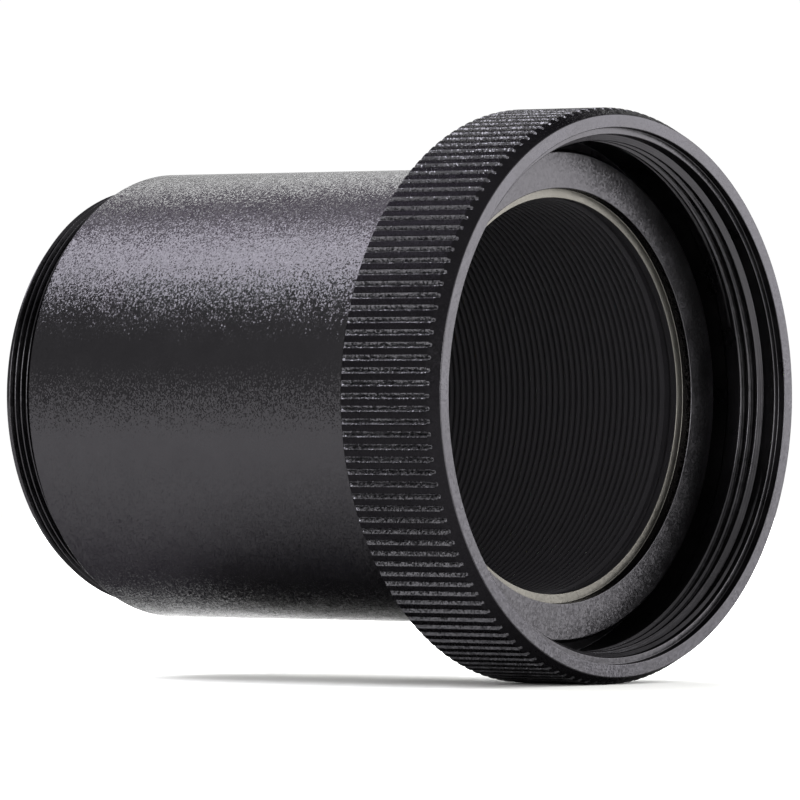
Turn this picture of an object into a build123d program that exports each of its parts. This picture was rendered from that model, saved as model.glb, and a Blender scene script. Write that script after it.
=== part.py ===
"""Two-inch coupling barlow: a barrel with a captive knurled coupling ring, a negative doublet
in its own cell, and a camera thread.

Millimetres. The optical axis is X. x = 0 is the seat face of the barrel's flange, +X points to the
telescope and -X to the camera. Every outline is drawn as (x, radius) and turned about X.
"""
from build123d import *
import os
from math import radians, sqrt, tan

# ---- driving dimensions -------------------------------------------------------------------

# threads: (radii are derived below; both follow the 60 degree form)
scope_thread_r = 25.4          # 2 in - 24 tpi telescope thread, major radius
scope_pitch = 25.4 / 24
camera_pitch = 0.75            # M42 x 0.75 camera thread
bore_pitch = 0.75              # ridges that kill stray light and hold the cell's lock ring
cell_pitch = 0.5               # thread of the lens retainer in the cell
flank = tan(radians(30))       # axial run of a thread's flank per millimetre of depth
inner_depth = 0.5413           # depth of an inside thread, in pitches
outer_depth = 0.6134           # depth of an outside thread, in pitches
inner_land = 1 / 4             # flat on the crests of an inside thread, in pitches
outer_land = 1 / 8             # flat on the crests of an outside thread, in pitches
thread_clearance = 0.08        # radial gap between an inner ring's ridges and their grooves

# coupling ring
ring_wall = 2.6                # thread's major radius to the outside of the ring
ring_reach = 7.2               # ring's front face ahead of the seat
ring_lip = 2.3                 # thickness of the wall that pulls on the flange
ring_recess_depth = 0.75       # plain recess in front of the thread
ring_recess_step = 0.65        # how far the recess stands outside the thread
front_bevel_r = 0.7            # bevel between the knurl and the front face
front_bevel_x = 1.4
rear_chamfer = 0.45
thread_lead = 1.55             # front face to the middle of the first thread ridge
thread_relief = 1.3            # plain length between the last ridge and the seat
relief_depth = 0.2
knurl_count = 144
knurl_depth = 0.3
knurl_width = 0.56
edge_break = 0.2               # small chamfers on turned edges

# barrel
flange_gap = 1.3               # flange's rim to the thread's major radius
flange_step = 1.8              # flange's rim above the barrel
flange_thickness = 2.2
flange_chamfer = 0.3
barrel_wall = 2.97
barrel_length = 50.4           # seat face to the camera shoulder
shoulder_step = 1.3            # barrel's outside to the camera thread's crests
shoulder_chamfer = 0.4
camera_thread_length = 4.35
camera_lead = 0.8              # shoulder to the middle of the first thread ridge
camera_thread_wall = 2.94      # camera thread's root to the light exit
undercut_step = 0.1            # shallow groove that keeps the camera seat clear of the thread
undercut_depth = 0.2
mouth_depth = 1.1              # counterbore in the mouth of the bore
mouth_step = 0.92
seat_lip = 1.2                 # shoulder to the lip that the cell rests on
mouth_land = 0.8               # plain length of bore behind the counterbore's floor
ridge_lead = 1.45              # counterbore's floor to the middle of the first bore ridge

# slip washer and fits
washer_thickness = 0.5
running_clearance = 0.10       # radial, ring and washer on the barrel
cell_clearance = 0.10          # radial, cell in the bore
glass_clearance = 0.05         # radial, glass in the cell

# lens group
cell_wall = 1.63
cell_lip = 1.0
cell_lip_width = 0.9           # how far the cell's rear lip covers the glass
cell_overlap = 0.25            # cell's front face ahead of the retainer
surface_r = 48.0               # both faces of the crown, and the cemented face of the flint
rear_surface_r = 101.6
crown_centre = 2.0
flint_centre = 4.6
rim_flat = 0.6                 # flat ring ground round each concave face
gasket_thickness = 0.25
retainer_thickness = 1.8
retainer_width = 1.25
retainer_thread_length = 3.0
stop_thickness = 0.6
stop_edge = 0.15               # thickness left at the knife edge
stop_width = 3.3               # rim to the clear aperture
lock_thickness = 1.9
lock_width = 2.6
slot_width = 1.4               # spanner slots in both threaded rings
slot_depth = 0.9

# ---- derived sizes ------------------------------------------------------------------------

scope_crest_r = scope_thread_r - inner_depth * scope_pitch
ring_r = scope_thread_r + ring_wall
flange_r = scope_thread_r - flange_gap
barrel_r = flange_r - flange_step
bore_r = barrel_r - barrel_wall
bore_root_r = bore_r + inner_depth * bore_pitch
camera_thread_r = barrel_r - shoulder_step
camera_root_r = camera_thread_r - outer_depth * camera_pitch
exit_r = camera_root_r - camera_thread_wall
slide_bore_r = barrel_r + running_clearance

cell_r = bore_r - cell_clearance
cell_bore_r = cell_r - cell_wall
lens_r = cell_bore_r - glass_clearance
cell_crest_r = cell_bore_r + glass_clearance
cell_root_r = cell_crest_r + inner_depth * cell_pitch

washer_x = -flange_thickness
lip_x = washer_x - washer_thickness
ring_rear_x = lip_x - ring_lip
rear_x = -barrel_length - camera_thread_length
cell_rear_x = seat_lip - barrel_length


def sag(radius, height):
    """Depth of a spherical surface at a height from the axis."""
    return radius - sqrt(radius**2 - height**2)


concave_r = lens_r - rim_flat
flint_rear_x = cell_rear_x + cell_lip
flint_edge = flint_centre - sag(surface_r, lens_r) + sag(rear_surface_r, concave_r)
cement_edge_x = flint_rear_x + flint_edge
cement_centre_x = cement_edge_x + sag(surface_r, lens_r)
crown_front_x = cement_centre_x + crown_centre + sag(surface_r, concave_r)
retainer_rear_x = crown_front_x + gasket_thickness
retainer_front_x = retainer_rear_x + retainer_thickness
cell_front_x = retainer_front_x + cell_overlap
stop_front_x = cell_front_x + stop_thickness
lock_front_x = stop_front_x + lock_thickness


def ridge_places(first_x, last_x, pitch):
    """Middles of the ridges from first_x towards the camera, none past last_x."""
    return [first_x - i * pitch for i in range(int((first_x - last_x) / pitch + 1e-6) + 1)]


def ridges(places, crest_r, root_r, land):
    """Outline of thread ridges: a flat land on each crest, 60 degree flanks down to the root."""
    half = land / 2
    foot = half + abs(crest_r - root_r) * flank
    steps = ((foot, root_r), (half, crest_r), (-half, crest_r), (-foot, root_r))
    return [(x + dx, r) for x in places for dx, r in steps]


def turned(outline):
    """Turn a closed outline of (x, radius) points about the optical axis."""
    with BuildSketch(Plane.XY) as profile:
        with BuildLine():
            Polyline(*outline, close=True)
        make_face()
    return profile.sketch


def save(piece, name):
    piece.part.label = name
    export_step(piece.part, f"parts/{name}.step")


os.makedirs("parts", exist_ok=True)

# ---- barrel: flange, ridged bore, lip for the cell, camera thread ---------------------------

camera_ridges = ridge_places(-barrel_length - camera_lead, rear_x + camera_pitch / 2, camera_pitch)
bore_ridges = ridge_places(-mouth_depth - ridge_lead, cell_rear_x + bore_pitch, bore_pitch)
barrel_outline = [
    (0, bore_r + mouth_step),
    (0, flange_r - flange_chamfer),
    (-flange_chamfer, flange_r),
    (edge_break - flange_thickness, flange_r),
    (-flange_thickness, flange_r - edge_break),
    (-flange_thickness, barrel_r),
    (shoulder_chamfer - barrel_length, barrel_r),
    (-barrel_length, barrel_r - shoulder_chamfer),
    (-barrel_length, camera_thread_r + undercut_step),
    (undercut_depth - barrel_length, camera_thread_r + undercut_step),
    (undercut_depth - barrel_length, camera_root_r),
    *ridges(camera_ridges, camera_thread_r, camera_root_r, camera_pitch * outer_land),
    (rear_x + edge_break, camera_root_r),
    (rear_x, camera_root_r - edge_break),
    (rear_x, exit_r + edge_break),
    (rear_x + edge_break, exit_r),
    (cell_rear_x, exit_r),
    (cell_rear_x, bore_root_r),
    *reversed(ridges(bore_ridges, bore_r, bore_root_r, bore_pitch * inner_land)),
    (-mouth_depth - mouth_land - (bore_root_r - bore_r) * flank, bore_root_r),
    (-mouth_depth - mouth_land, bore_r),
    (-mouth_depth, bore_r),
    (-mouth_depth, bore_r + mouth_step),
]
with BuildPart() as barrel:
    add(turned(barrel_outline))
    revolve(axis=Axis.X)
save(barrel, "barrel")

# ---- coupling ring: knurled outside, telescope thread inside -------------------------------

ring_ridges = ridge_places(ring_reach - thread_lead, thread_relief, scope_pitch)
ring_outline = [
    (ring_reach, scope_thread_r + ring_recess_step),
    (ring_reach, ring_r - front_bevel_r),
    (ring_reach - front_bevel_x, ring_r),
    (ring_rear_x + rear_chamfer, ring_r),
    (ring_rear_x, ring_r - rear_chamfer),
    (ring_rear_x, slide_bore_r + edge_break),
    (ring_rear_x + edge_break, slide_bore_r),
    (lip_x, slide_bore_r),
    (lip_x, scope_thread_r + relief_depth),
    (ring_ridges[-1] - scope_pitch, scope_thread_r + relief_depth),
    (ring_ridges[-1] - scope_pitch + relief_depth, scope_thread_r),
    *reversed(ridges(ring_ridges, scope_crest_r, scope_thread_r, scope_pitch * inner_land)),
    (ring_reach - ring_recess_depth, scope_thread_r),
    (ring_reach - ring_recess_depth, scope_thread_r + ring_recess_step),
]
knurl_groove = [(-knurl_depth, 0), (knurl_depth, -knurl_width), (knurl_depth, knurl_width)]
with BuildPart() as coupling_ring:
    add(turned(ring_outline))
    revolve(axis=Axis.X)
    # straight knurl: V grooves cut the whole width of the ring, so they run out in the bevel
    with BuildSketch(Plane.YZ.offset(ring_rear_x)):
        with PolarLocations(ring_r, knurl_count):
            Polygon(*knurl_groove, align=None)
    extrude(amount=ring_reach - ring_rear_x, mode=Mode.SUBTRACT)
save(coupling_ring, "coupling_ring")

# ---- slip washer between the flange and the ring's lip --------------------------------------

with BuildPart() as slip_washer:
    with BuildSketch(Plane.YZ.offset(lip_x)):
        Circle(flange_r)
        Circle(slide_bore_r, mode=Mode.SUBTRACT)
    extrude(amount=washer_thickness)
save(slip_washer, "slip_washer")

# ---- lens cell: a threaded can that seats on the lip at the rear of the bore ----------------

cell_ridges = ridge_places(
    cell_front_x - cell_pitch, cell_front_x - retainer_thread_length, cell_pitch)
cell_outline = [
    (cell_front_x, cell_root_r + edge_break),
    (cell_front_x, cell_r - edge_break),
    (cell_front_x - edge_break, cell_r),
    (cell_rear_x + edge_break, cell_r),
    (cell_rear_x, cell_r - edge_break),
    (cell_rear_x, lens_r - cell_lip_width),
    (flint_rear_x, lens_r - cell_lip_width),
    (flint_rear_x, cell_bore_r),
    (cell_ridges[-1] - cell_pitch, cell_bore_r),
    (cell_ridges[-1] - cell_pitch, cell_root_r),
    *reversed(ridges(cell_ridges, cell_crest_r, cell_root_r, cell_pitch * inner_land)),
    (cell_front_x - edge_break, cell_root_r),
]
with BuildPart() as lens_cell:
    add(turned(cell_outline))
    revolve(axis=Axis.X)
save(lens_cell, "lens_cell")

# ---- the doublet: biconcave crown in front, meniscus flint behind, cemented ------------------

with BuildPart() as crown_element:
    with BuildSketch(Plane.XY):
        with BuildLine():
            Line((cement_centre_x, 0), (cement_centre_x + crown_centre, 0))
            RadiusArc((cement_centre_x + crown_centre, 0), (crown_front_x, concave_r), surface_r)
            Line((crown_front_x, concave_r), (crown_front_x, lens_r))
            Line((crown_front_x, lens_r), (cement_edge_x, lens_r))
            RadiusArc((cement_edge_x, lens_r), (cement_centre_x, 0), surface_r)
        make_face()
    revolve(axis=Axis.X)
save(crown_element, "crown_element")

with BuildPart() as flint_element:
    with BuildSketch(Plane.XY):
        with BuildLine():
            Line((cement_centre_x - flint_centre, 0), (cement_centre_x, 0))
            RadiusArc((cement_centre_x, 0), (cement_edge_x, lens_r), -surface_r)
            Line((cement_edge_x, lens_r), (flint_rear_x, lens_r))
            Line((flint_rear_x, lens_r), (flint_rear_x, concave_r))
            RadiusArc(
                (flint_rear_x, concave_r), (cement_centre_x - flint_centre, 0), rear_surface_r)
        make_face()
    revolve(axis=Axis.X)
save(flint_element, "flint_element")

# ---- gasket and slotted retainer that clamp the doublet in the cell --------------------------

with BuildPart() as retainer_gasket:
    with BuildSketch(Plane.YZ.offset(crown_front_x)):
        Circle(lens_r)
        Circle(concave_r, mode=Mode.SUBTRACT)
    extrude(amount=gasket_thickness)
save(retainer_gasket, "retainer_gasket")


def slotted_ring_outline(rear_x, front_x, places, groove_r, crest_r, inner_r, pitch):
    """Outline of a threaded ring whose ridges lie in the grooves that surround it."""
    root_r = crest_r - thread_clearance
    inside = [x for x in places if rear_x + pitch / 2 < x < front_x - pitch / 2]
    return [
        (front_x, inner_r + edge_break),
        (front_x, root_r),
        *ridges(inside, groove_r - thread_clearance, root_r, pitch * outer_land),
        (rear_x, root_r),
        (rear_x, inner_r),
        (front_x - edge_break, inner_r),
    ]


def between(places, pitch):
    """Middles of the grooves next to a row of ridges."""
    return [x - pitch / 2 for x in places]


with BuildPart() as lens_retainer:
    retainer_places = between(cell_ridges, cell_pitch)
    add(turned(slotted_ring_outline(
        retainer_rear_x, retainer_front_x, retainer_places, cell_root_r, cell_crest_r,
        cell_crest_r - retainer_width, cell_pitch)))
    revolve(axis=Axis.X)
    with Locations((retainer_front_x, 0, 0)):
        Box(2 * slot_depth, 2 * cell_root_r, slot_width, mode=Mode.SUBTRACT)
save(lens_retainer, "lens_retainer")

# ---- glare stop: a knife edge disc in front of the cell --------------------------------------

stop_r = cell_r - edge_break
with BuildPart() as glare_stop:
    add(turned([
        (cell_front_x, stop_r),
        (stop_front_x, stop_r),
        (stop_front_x, stop_r - stop_width + stop_thickness),
        (cell_front_x + stop_edge, stop_r - stop_width),
        (cell_front_x, stop_r - stop_width),
    ]))
    revolve(axis=Axis.X)
save(glare_stop, "glare_stop")

# ---- lock ring: screws down the ridged bore on to the stop and the cell ----------------------

with BuildPart() as cell_lock_ring:
    add(turned(slotted_ring_outline(
        stop_front_x, lock_front_x, between(bore_ridges, bore_pitch), bore_root_r, bore_r,
        bore_r - lock_width, bore_pitch)))
    revolve(axis=Axis.X)
    with Locations((lock_front_x, 0, 0)):
        Box(2 * slot_depth, 2 * bore_root_r, slot_width, mode=Mode.SUBTRACT)
save(cell_lock_ring, "cell_lock_ring")

print("lens stack, x in mm:", *(round(x, 2) for x in (
    cell_rear_x, flint_rear_x, cement_edge_x, cement_centre_x, crown_front_x, retainer_front_x,
    cell_front_x, stop_front_x, lock_front_x)))
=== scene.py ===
from math import atan2, cos, pi, radians, sin, tan

import bmesh
import bpy
from mathutils import Matrix, Vector


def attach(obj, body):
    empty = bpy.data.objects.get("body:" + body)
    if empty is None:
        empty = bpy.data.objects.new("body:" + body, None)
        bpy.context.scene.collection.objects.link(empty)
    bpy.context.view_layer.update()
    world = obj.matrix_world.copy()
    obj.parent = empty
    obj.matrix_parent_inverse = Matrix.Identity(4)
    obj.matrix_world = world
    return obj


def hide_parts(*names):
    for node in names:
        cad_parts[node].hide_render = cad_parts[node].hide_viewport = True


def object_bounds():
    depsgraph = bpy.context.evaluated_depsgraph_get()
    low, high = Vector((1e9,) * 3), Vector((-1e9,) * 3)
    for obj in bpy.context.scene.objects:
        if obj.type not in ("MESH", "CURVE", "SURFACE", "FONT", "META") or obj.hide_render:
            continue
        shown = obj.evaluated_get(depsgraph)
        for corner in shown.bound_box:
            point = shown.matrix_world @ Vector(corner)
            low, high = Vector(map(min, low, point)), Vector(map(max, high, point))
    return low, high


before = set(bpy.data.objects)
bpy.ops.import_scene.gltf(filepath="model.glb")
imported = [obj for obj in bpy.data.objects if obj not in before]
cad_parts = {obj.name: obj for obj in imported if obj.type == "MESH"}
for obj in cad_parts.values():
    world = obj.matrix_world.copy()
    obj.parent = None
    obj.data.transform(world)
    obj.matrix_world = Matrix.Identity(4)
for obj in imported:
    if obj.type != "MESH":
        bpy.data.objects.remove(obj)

cad_low, cad_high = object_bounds()
MM = 0.001

# ---- sizes that the finish work needs, in millimetres ---------------------------------------

scope_thread = {"crest": 24.827, "root": 25.4}      # inside the coupling ring
bore_thread = {"crest": 19.33, "root": 19.736}      # ridged bore of the barrel
bore_land_x = -2.0                                  # the bore is plain in front of this
camera_thread = {"crest": 21.0, "root": 20.54}      # outside, at the camera end
shoulder_x = -50.4           # seat face that a camera's adapter ring meets
mouth_floor_x = -1.1         # floor of the counterbore in the mouth
shoulder_slack = 0.02
floor_slack = 0.05
exit_edge_r = 18             # behind the shoulder and outside this is the camera thread
bore_zone_r = bore_thread["root"] + 0.1     # nearer the axis than this is bore
seat_zone_x = -0.2           # ahead of this, and outside the bore, is the seat
barrel_columns = 360
bore_thread_columns = 144    # the bore's fine ridges are plain, which keeps the barrel light
outer_thread_columns = 180
outer_crest_steps = 2
wedges = 24                  # a turned piece is made as this many equal wedges
corner_round = 0.07          # edges are broken with a file before anodising
corner_steps = 3
thread_round = 0.05          # crests are rounded where the dye settles
thread_sink = 0.06           # how far a thread's base lies in the metal
thread_fade = 0.35           # turns over which a thread starts and runs out

ring_r = 28.0
knurl_count = 144
knurl_depth = 0.3
knurl_half_width = 0.28
knurl_round = 0.09           # the wheel rolls the edges of each groove over
columns_per_groove = 8
front_bevel = (5.7, 7.3)     # the ring's front bevel lies between these
rear_chamfer = (-5.1, -4.4)  # and its rear chamfer between these
bevel_cuts = 7               # the grooves run out in the front bevel, so it has cross rows
chamfer_cuts = 3
outer_band = 0.8             # a point this near ring_r is on the ring's outer slopes
knurl_zone_r = ring_r - 1    # the grooves and their flanks lie outside this
ring_front_x = 7.1           # only the front face of the ring lies ahead of this
thread_skin = 1.5            # a point this far inside ring_r is out of the knurl's reach
lip_back_x = -2.8            # the ring's inside ahead of this is thread and recess
flank_lean = radians(20)     # a face of the knurl leaning more than this is a groove's flank


# ---- shared steps ---------------------------------------------------------------------------

def linear(hex_colour):
    """An sRGB hex colour as the linear RGBA that a shader takes."""
    parts = [int(hex_colour[i:i + 2], 16) / 255 for i in (1, 3, 5)]
    return [c / 12.92 if c <= 0.04045 else ((c + 0.055) / 1.055) ** 2.4 for c in parts] + [1]


def add_node(tree, kind, inputs=None, **settings):
    """Add a shader node; an input is given a value, or linked when it is given a socket."""
    made = tree.nodes.new("ShaderNode" + kind)
    for name, value in settings.items():
        setattr(made, name, value)
    for name, value in (inputs or {}).items():
        if isinstance(value, bpy.types.NodeSocket):
            tree.links.new(value, made.inputs[name])
        else:
            made.inputs[name].default_value = value
    return made


def section_of(node_name, angle):
    """The outline of a turned CAD node where a half plane at an angle from +Y cuts it, as a wire."""
    bm = bmesh.new()
    bm.from_mesh(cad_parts[node_name].data)
    bmesh.ops.remove_doubles(bm, verts=bm.verts, dist=0.001 * MM)
    bmesh.ops.rotate(bm, verts=bm.verts, cent=(0, 0, 0), matrix=Matrix.Rotation(-angle, 3, "X"))
    bmesh.ops.bisect_plane(
        bm, geom=bm.verts[:] + bm.edges[:] + bm.faces[:], dist=1e-9,
        plane_co=(0, 0, 0), plane_no=(0, 0, 1), clear_inner=True, clear_outer=True)
    bmesh.ops.delete(bm, geom=[v for v in bm.verts if v.co.y < 0], context="VERTS")
    for v in bm.verts:
        v.co.z = 0
    drop_straight(bm)
    return bm


def drop_straight(bm):
    """Dissolve the points of a wire that lie on a straight run."""
    def straight(v):
        a, b = [e.other_vert(v).co - v.co for e in v.link_edges]
        return min(a.length, b.length) < 1e-9 or pi - a.angle(b) < radians(0.5)
    bmesh.ops.dissolve_verts(bm, verts=[v for v in bm.verts if straight(v)])


def take_thread(bm, thread, inside, front_x=100):
    """Read where a row of ridges behind front_x lies, then take the ridges off the outline."""
    at_crest = [
        v for v in bm.verts
        if abs(v.co.y / MM - thread["crest"]) < 0.03 and v.co.x / MM < front_x]
    places = sorted(v.co.x / MM for v in at_crest)
    count = len(places) // 2
    thread["first"] = (places[0] + places[1]) / 2
    thread["last"] = (places[-1] + places[-2]) / 2
    thread["land"] = places[1] - places[0]
    thread["pitch"] = (thread["last"] - thread["first"]) / (count - 1)
    thread["inside"] = inside
    bmesh.ops.dissolve_verts(bm, verts=at_crest)
    drop_straight(bm)


def break_corners(bm, size, steps):
    """Round every corner of an outline a little, as a file does."""
    bmesh.ops.bevel(
        bm, geom=bm.verts[:], offset=size * MM, offset_type="OFFSET", segments=steps, profile=0.5,
        affect="VERTICES", clamp_overlap=True, material=-1)


def turn(bm, columns):
    """Turn an outline a full turn about the optical axis: a wedge first, then its copies."""
    wedge = 2 * pi / wedges
    bmesh.ops.spin(
        bm, geom=bm.verts[:] + bm.edges[:], cent=(0, 0, 0), axis=(1, 0, 0), angle=wedge,
        steps=columns // wedges, use_merge=False, use_normal_flip=False, use_duplicate=False)
    bmesh.ops.spin(
        bm, geom=bm.verts[:] + bm.edges[:] + bm.faces[:], cent=(0, 0, 0), axis=(1, 0, 0),
        angle=2 * pi - wedge, steps=wedges - 1, use_merge=False, use_normal_flip=False,
        use_duplicate=True)
    bmesh.ops.remove_doubles(bm, verts=bm.verts, dist=0.002 * MM)
    bmesh.ops.recalc_face_normals(bm, faces=bm.faces)


def wind_thread(bm, thread, columns, crest_steps):
    """Wind one long 60 degree ridge along the axis; both ends sink into the metal."""
    outward = -1 if thread["inside"] else 1
    height = abs(thread["crest"] - thread["root"]) + thread_sink
    half = thread["land"] / 2
    foot = half + height * tan(radians(30))
    base_r = thread["root"] - outward * thread_sink
    start = thread["first"] * MM
    pitch = thread["pitch"] * MM
    turns = round((thread["last"] - thread["first"]) / thread["pitch"])
    ridge = bmesh.new()
    corners = [(-foot, base_r), (-half, thread["crest"]), (half, thread["crest"]), (foot, base_r)]
    loop = [ridge.verts.new((start + dx * MM, r * MM, 0)) for dx, r in corners]
    for a, b in zip(loop, loop[1:] + loop[:1]):
        ridge.edges.new((a, b))
    if crest_steps:
        bmesh.ops.bevel(
            ridge, geom=loop[1:3], offset=thread_round * MM, offset_type="OFFSET",
            segments=crest_steps, profile=0.5, affect="VERTICES", clamp_overlap=True, material=-1)
    bmesh.ops.spin(
        ridge, geom=ridge.verts[:] + ridge.edges[:], cent=(0, 0, 0), axis=(1, 0, 0), angle=2 * pi,
        dvec=(pitch / columns, 0, 0), steps=columns, use_merge=False, use_normal_flip=False,
        use_duplicate=False)
    one_turn = ridge.verts[:] + ridge.edges[:] + ridge.faces[:]
    for number in range(1, turns):
        copied = bmesh.ops.duplicate(ridge, geom=one_turn)["geom"]
        moved = [v for v in copied if isinstance(v, bmesh.types.BMVert)]
        bmesh.ops.translate(ridge, verts=moved, vec=(pitch * number, 0, 0))
    bmesh.ops.remove_doubles(ridge, verts=ridge.verts, dist=0.002 * MM)
    bmesh.ops.holes_fill(ridge, edges=[e for e in ridge.edges if e.is_boundary], sides=0)
    bmesh.ops.recalc_face_normals(ridge, faces=ridge.faces)
    for v in ridge.verts:
        part = atan2(v.co.z, v.co.y) / (2 * pi)
        turned = part + round((v.co.x - start) / pitch - part)
        grown = min(turned, turns - turned, thread_fade) / thread_fade
        r = Vector(v.co.yz).length / MM
        wanted = base_r + (r - base_r) * max(grown, 0)
        v.co.y *= wanted / r
        v.co.z *= wanted / r
    wound = bpy.data.meshes.new("thread")
    ridge.to_mesh(wound)
    ridge.free()
    bm.from_mesh(wound)
    bpy.data.meshes.remove(wound)


def finish_piece(bm, name, body, materials, zone=None):
    """Make the piece an object that rides on its body, with a material for each zone."""
    bm.normal_update()
    if zone:
        for f in bm.faces:
            centre = f.calc_center_median() / MM
            f.material_index = zone(centre.x, Vector(centre.yz).length, f)
    mesh = bpy.data.meshes.new(name)
    bm.to_mesh(mesh)
    bm.free()
    mesh.shade_smooth()
    mesh.set_sharp_from_angle(angle=radians(10))
    for material in materials:
        mesh.materials.append(material)
    piece = bpy.data.objects.new(name, mesh)
    bpy.context.scene.collection.objects.link(piece)
    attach(piece, body)
    return piece


# ---- finishes -------------------------------------------------------------------------------

mottle_size = 3              # millimetres across the slow cloud in a dyed oxide's colour
mottle_rough = 0.04          # how far that cloud moves the roughness either way
marks_at_one = 0.314         # spacing of a wave texture's bands at a scale of 1
mark_depth = 0.006           # millimetres


def anodised(name, dark, light, roughness, grain, tilt, edge=0.4, lines=0.0, metallic=1.0):
    """Aluminium under a dyed oxide: a metal whose reflection is as dark as the dye.

    Each blasting dimple, grain millimetres wide, throws light its own way by up to tilt, which is
    what sparkles beside a highlight. edge is how much of the reflection is left at a grazing look.
    lines is the spacing of turning marks along the axis in millimetres, or 0 for none. metallic is
    0 for an oxide so thick and matt that the metal under it no longer shines.
    """
    material = bpy.data.materials.new(name)
    material.use_nodes = True
    tree = material.node_tree
    tree.nodes.clear()
    place = add_node(tree, "TexCoord").outputs["Object"]
    mottle = add_node(tree, "TexNoise", {"Vector": place, "Scale": 1 / (mottle_size * MM), "Detail": 3.0})
    colour = add_node(tree, "Mix", {0: mottle.outputs["Fac"]}, data_type="RGBA")
    colour.inputs[6].default_value = linear(dark)
    colour.inputs[7].default_value = linear(light)
    dimples = add_node(tree, "TexVoronoi", {"Vector": place, "Scale": 1 / (grain * MM)})
    centred = add_node(
        tree, "VectorMath", {0: dimples.outputs["Color"], 1: (0.5, 0.5, 0.5)}, operation="SUBTRACT")
    leaned = add_node(
        tree, "VectorMath", {0: centred.outputs[0], "Scale": 2 * tilt}, operation="SCALE")
    normal = add_node(tree, "NewGeometry").outputs["Normal"]
    summed = add_node(tree, "VectorMath", {0: normal, 1: leaned.outputs[0]}, operation="ADD")
    normal = add_node(tree, "VectorMath", {0: summed.outputs[0]}, operation="NORMALIZE").outputs[0]
    if lines:
        wave = add_node(tree, "TexWave", {
            "Vector": place, "Scale": marks_at_one / (lines * MM), "Distortion": 0.4, "Detail": 1.0},
            bands_direction="X")
        normal = add_node(tree, "Bump", {
            "Height": wave.outputs["Fac"], "Distance": mark_depth * MM, "Strength": 1.0,
            "Normal": normal}).outputs["Normal"]
    rough = add_node(tree, "MapRange", {
        "Value": mottle.outputs["Fac"], "From Min": 0.3, "From Max": 0.7,
        "To Min": roughness - mottle_rough, "To Max": roughness + mottle_rough})
    shader = add_node(tree, "BsdfPrincipled", {
        "Base Color": colour.outputs[2], "Metallic": metallic,
        "Roughness": rough.outputs["Result"], "Specular IOR Level": 0.5 if metallic else 0.2,
        "Normal": normal, "Specular Tint": (edge, edge, edge, 1)})
    add_node(tree, "OutputMaterial", {"Surface": shader.outputs["BSDF"]})
    return material


def coated_glass(name, tint, ior):
    """Polished optical glass with a thin coating that reflects a faint green or violet."""
    material = bpy.data.materials.new(name)
    material.use_nodes = True
    tree = material.node_tree
    tree.nodes.clear()
    shader = add_node(tree, "BsdfPrincipled", {
        "Base Color": linear(tint), "Roughness": 0.02, "IOR": ior, "Transmission Weight": 1.0,
        "Thin Film Thickness": 420.0, "Thin Film IOR": 1.38})
    add_node(tree, "OutputMaterial", {"Surface": shader.outputs["BSDF"]})
    return material


def plastic(name, dark, light, roughness, grain):
    """Turned or die-cut plastic: a soft sheen over a fine uneven surface."""
    material = bpy.data.materials.new(name)
    material.use_nodes = True
    tree = material.node_tree
    tree.nodes.clear()
    place = add_node(tree, "TexCoord").outputs["Object"]
    cloud = add_node(tree, "TexNoise", {"Vector": place, "Scale": 1 / (grain * MM), "Detail": 4.0})
    colour = add_node(tree, "Mix", {0: cloud.outputs["Fac"]}, data_type="RGBA")
    colour.inputs[6].default_value = linear(dark)
    colour.inputs[7].default_value = linear(light)
    relief = add_node(tree, "Bump", {
        "Height": cloud.outputs["Fac"], "Distance": 0.01 * MM, "Strength": 0.6})
    shader = add_node(tree, "BsdfPrincipled", {
        "Base Color": colour.outputs[2], "Roughness": roughness,
        "Normal": relief.outputs["Normal"]})
    add_node(tree, "OutputMaterial", {"Surface": shader.outputs["BSDF"]})
    return material


# Bead blasting breaks a highlight into sparks. The dimples are drawn 0.13 mm wide, as coarse as
# they need to be to show.
blasted = anodised("bead_blasted_black_anodised_aluminium", "#2A292B", "#2F2E30", 0.19, 0.13, 0.14)
# A cut and dipped thread is deep glossy black, with a thin bright line on each crest.
thread_gloss = anodised("bright_dipped_black_anodised_aluminium", "#2A292B", "#313032", 0.18, 0.3,
                        0.02)
# The seat is lightly etched: an even grey with a fine grain.
seat_face = anodised("etched_black_anodised_aluminium", "#302F31", "#3B3A3C", 0.32, 0.18, 0.055)
# Inside, a thick matt dye swallows light and leaves only a trace of the turning marks.
matt_black = anodised("matt_black_anodised_aluminium", "#19181A", "#1E1D1F", 0.6, 0.2, 0.05,
                      lines=0.15, metallic=0.0, edge=0.15)
# Turned and dyed: a satin black with close turning marks.
turned_black = anodised("turned_black_anodised_aluminium", "#302F31", "#3A393B", 0.3, 0.3, 0.03,
                        lines=0.12)
# The mouth's floor is a warm grey, lighter than the dyed metal round it. This is partly a faced floor
# that is lighter in itself, and partly painted light that stands in for light the lamps don't bring into
# this recess.
mouth_grey_painted_light = anodised("faced_grey_aluminium_painted_light", "#4F4D49", "#5A5854", 0.45, 0.2, 0.04)
# The ring's plain outside is a quiet satin black.
ring_satin = anodised("satin_black_anodised_aluminium", "#141315", "#1A191B", 0.5, 0.15, 0.12)
# Its front is faced smooth, and mirrors a wide light as an even mid grey.
ring_face = anodised("faced_black_anodised_aluminium", "#353437", "#3B3A3C", 0.3, 0.13, 0.05)
# Rolling leaves the grooves' flanks rough, so each one glitters. Their lighter colour is a painted
# highlight, which makes each groove show as a bright line.
groove_flank_painted_highlight = anodised("knurled_black_aluminium_painted_highlight", "#434245", "#525154", 0.36, 0.15, 0.42)
# Coated glass is clear, with a faint tint where it turns away.
crown_glass = coated_glass("coated_crown_glass", "#F2FBF6", 1.52)
flint_glass = coated_glass("coated_flint_glass", "#F8F8EE", 1.65)
# Acetal is milky white and a little waxy; die-cut nylon is dull black.
acetal = plastic("turned_white_acetal", "#D9D6CC", "#E9E7DF", 0.38, 1.5)
nylon = plastic("die_cut_black_nylon", "#1A1A1C", "#232326", 0.6, 0.4)

# ---- barrel ---------------------------------------------------------------------------------

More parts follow.
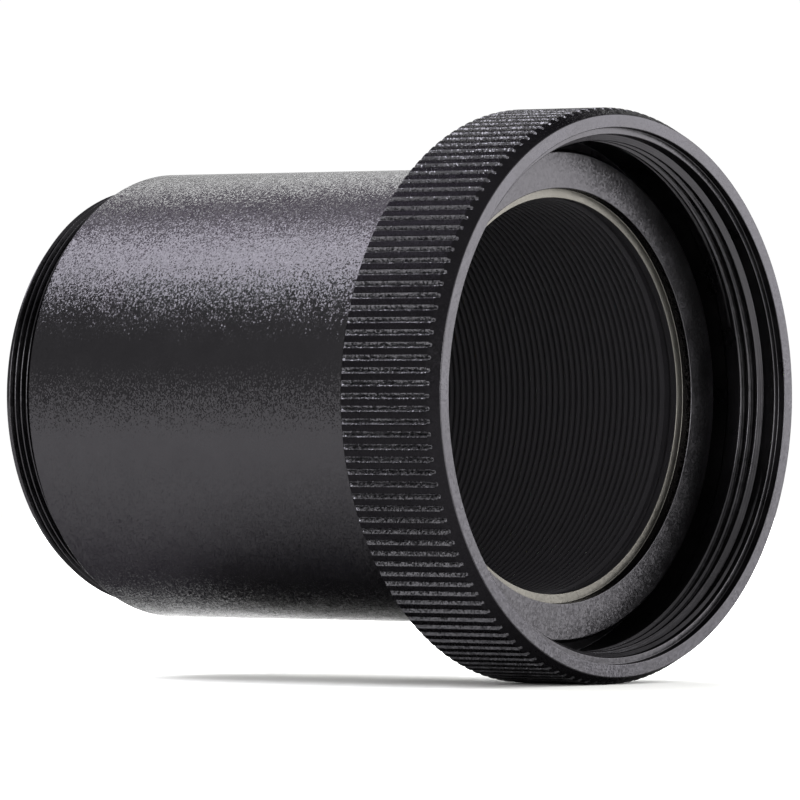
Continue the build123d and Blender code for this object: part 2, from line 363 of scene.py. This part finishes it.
outline = section_of("barrel", radians(0.02))
take_thread(outline, bore_thread, inside=True, front_x=bore_land_x)
take_thread(outline, camera_thread, inside=False)
break_corners(outline, corner_round, corner_steps)
turn(outline, barrel_columns)
wind_thread(outline, bore_thread, bore_thread_columns, crest_steps=0)
wind_thread(outline, camera_thread, outer_thread_columns, outer_crest_steps)


def barrel_zone(x, r, face):
    """0 blasted outside, 1 camera thread, 2 seat face, 3 blackened bore, 4 mouth's floor."""
    if x < shoulder_x - shoulder_slack and r > exit_edge_r:
        return 1
    if abs(x - mouth_floor_x) < floor_slack:
        return 4
    if r < bore_zone_r:
        return 3
    if x > seat_zone_x:
        return 2
    return 0


barrel = finish_piece(
    outline, "barrel_shell", "barrel",
    [blasted, thread_gloss, seat_face, matt_black, mouth_grey_painted_light], barrel_zone)
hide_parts("barrel")

# ---- coupling ring --------------------------------------------------------------------------

groove_pitch = 2 * pi / knurl_count


def cross_rows(bm, low_x, high_x, cuts):
    """Divide the outer slope between two places, so that grooves can run out in it."""
    slope = [
        e for e in bm.edges
        if all(low_x < v.co.x / MM < high_x and v.co.y / MM > ring_r - outer_band for v in e.verts)]
    longest = max(slope, key=lambda e: e.calc_length())
    bmesh.ops.subdivide_edges(bm, edges=[longest], cuts=cuts)


def press_knurl(bm):
    """Press straight V grooves into the outside of the ring, with rolled edges."""
    edge = knurl_half_width / ring_r
    rolled = knurl_round / ring_r
    places = (0, edge - rolled, edge, edge + rolled, groove_pitch / 2)
    rise = knurl_depth / edge
    sinks = (knurl_depth, rise * rolled, rise * rolled / 4, 0, 0)
    for v in bm.verts:
        r = Vector(v.co.yz).length / MM
        angle = atan2(v.co.z, v.co.y)
        groove = round(angle / groove_pitch) * groove_pitch
        column = round((angle - groove) / groove_pitch * columns_per_groove)
        place = places[abs(column)]
        angle = groove + (place if column > 0 else -place)
        if r > ring_r - thread_skin and abs(column) < 3:
            r = min(r, ring_r - sinks[abs(column)])
        v.co.y = r * MM * cos(angle)
        v.co.z = r * MM * sin(angle)


outline = section_of("coupling_ring", groove_pitch / 2)
take_thread(outline, scope_thread, inside=True)
break_corners(outline, corner_round, corner_steps)
cross_rows(outline, *front_bevel, bevel_cuts)
cross_rows(outline, *rear_chamfer, chamfer_cuts)
turn(outline, knurl_count * columns_per_groove)
press_knurl(outline)
wind_thread(outline, scope_thread, outer_thread_columns, outer_crest_steps)


def ring_zone(x, r, face):
    """0 satin outside, 1 thread and recess, 2 front face, 3 flanks of the knurl."""
    if x > ring_front_x:
        return 2
    lean = Vector(face.normal.yz).angle(Vector(face.calc_center_median().yz), 0)
    if r > knurl_zone_r and lean > flank_lean:
        return 3
    if r < ring_r - thread_skin and x > lip_back_x:
        return 1
    return 0


ring = finish_piece(
    outline, "knurled_ring", "coupling_ring",
    [ring_satin, turned_black, ring_face, groove_flank_painted_highlight], ring_zone)
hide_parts("coupling_ring")

# ---- pieces whose CAD shape shows as it is ---------------------------------------------------

carried = {
    "slip_washer": acetal, "lens_cell": matt_black, "crown_element": crown_glass,
    "flint_element": flint_glass, "retainer_gasket": nylon, "lens_retainer": turned_black,
    "glare_stop": matt_black, "cell_lock_ring": turned_black}
for name, material in carried.items():
    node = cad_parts[name]
    node.data.materials.clear()
    node.data.materials.append(material)

# ---- floor, light and camera -----------------------------------------------------------------

floor_radius = 1.2
bm = bmesh.new()
bmesh.ops.create_circle(bm, cap_ends=True, segments=128, radius=floor_radius)
bmesh.ops.translate(bm, verts=bm.verts, vec=(0, 0, cad_low.z))
floor_mesh = bpy.data.meshes.new("studio_floor")
bm.to_mesh(floor_mesh)
bm.free()
floor_material = bpy.data.materials.new("matt_white_card")
floor_material.use_nodes = True
floor_shader = floor_material.node_tree.nodes["Principled BSDF"]
floor_shader.inputs["Base Color"].default_value = linear("#F2F2F0")
floor_shader.inputs["Roughness"].default_value = 0.9
floor_shader.inputs["Specular IOR Level"].default_value = 0.1
floor_mesh.materials.append(floor_material)
studio_floor = bpy.data.objects.new("studio_floor", floor_mesh)
bpy.context.scene.collection.objects.link(studio_floor)

world = bpy.data.worlds.new("studio")
bpy.context.scene.world = world
world.use_nodes = True
sky = world.node_tree
sky.nodes.clear()
# The light is even, and a shade brighter near the floor, so that the card stays white to its edge.
direction = add_node(sky, "TexCoord").outputs["Generated"]
height = add_node(sky, "SeparateXYZ", {"Vector": direction}).outputs["Z"]
brightness = add_node(sky, "MapRange", {
    "Value": height, "From Min": 0.06, "From Max": 0.2, "To Min": 1.02, "To Max": 1.0},
    interpolation_type="SMOOTHSTEP")
background = add_node(sky, "Background", {
    "Color": linear("#FFFFFF"), "Strength": brightness.outputs["Result"]})
add_node(sky, "OutputWorld", {"Surface": background.outputs["Background"]})


def soft_light(name, aim, towards, distance, width, height, radiance, colour="#FFFFFF"):
    """A rectangular soft box at a distance from a point on the axis, facing it."""
    data = bpy.data.lights.new(name, "AREA")
    data.shape = "RECTANGLE"
    data.size = width
    data.size_y = height
    data.energy = radiance * pi * width * height
    data.color = linear(colour)[:3]
    light = bpy.data.objects.new(name, data)
    light.location = Vector((aim, 0, 0)) + Vector(towards).normalized() * distance
    light.rotation_mode = "QUATERNION"
    light.rotation_quaternion = Vector(towards).to_track_quat("Z", "Y")
    light.visible_camera = False
    bpy.context.scene.collection.objects.link(light)
    return light


soft_light("key_softbox", -0.055, (-0.64, -0.20, 0.74), 0.45, 0.22, 0.2, 16.5, "#F8F9FF")
soft_light("side_softbox", 0.007, (0.643, 0.766, 0.0), 0.8, 0.7, 0.7, 8)
soft_light("rim_softbox", -0.03, (-0.64, 0.42, 0.64), 1.2, 1.3, 0.8, 9)
soft_light("front_softbox", 0.007, (0.78, -0.62, 0.15), 0.9, 0.4, 0.4, 14)
top_data = bpy.data.lights.new("top_light", "SUN")
top_data.energy = 0.4
top_data.angle = radians(50)
top_light = bpy.data.objects.new("top_light", top_data)
bpy.context.scene.collection.objects.link(top_light)

view_angle = radians(50)     # between the optical axis and the line of sight
view_distance = 0.906
look_at = Vector((-0.0207, 0, -0.0004))
camera_data = bpy.data.cameras.new("camera")
camera_data.lens = 412.3
camera_data.sensor_width = 36
camera_data.clip_start = 0.05
camera = bpy.data.objects.new("camera", camera_data)
back = Vector((cos(view_angle), -sin(view_angle), 0.0006))
camera.location = look_at + back * view_distance
camera.rotation_mode = "QUATERNION"
camera.rotation_quaternion = back.to_track_quat("Z", "Y")
bpy.context.scene.collection.objects.link(camera)
bpy.context.scene.camera = camera
bpy.context.scene.view_settings.view_transform = "Standard"
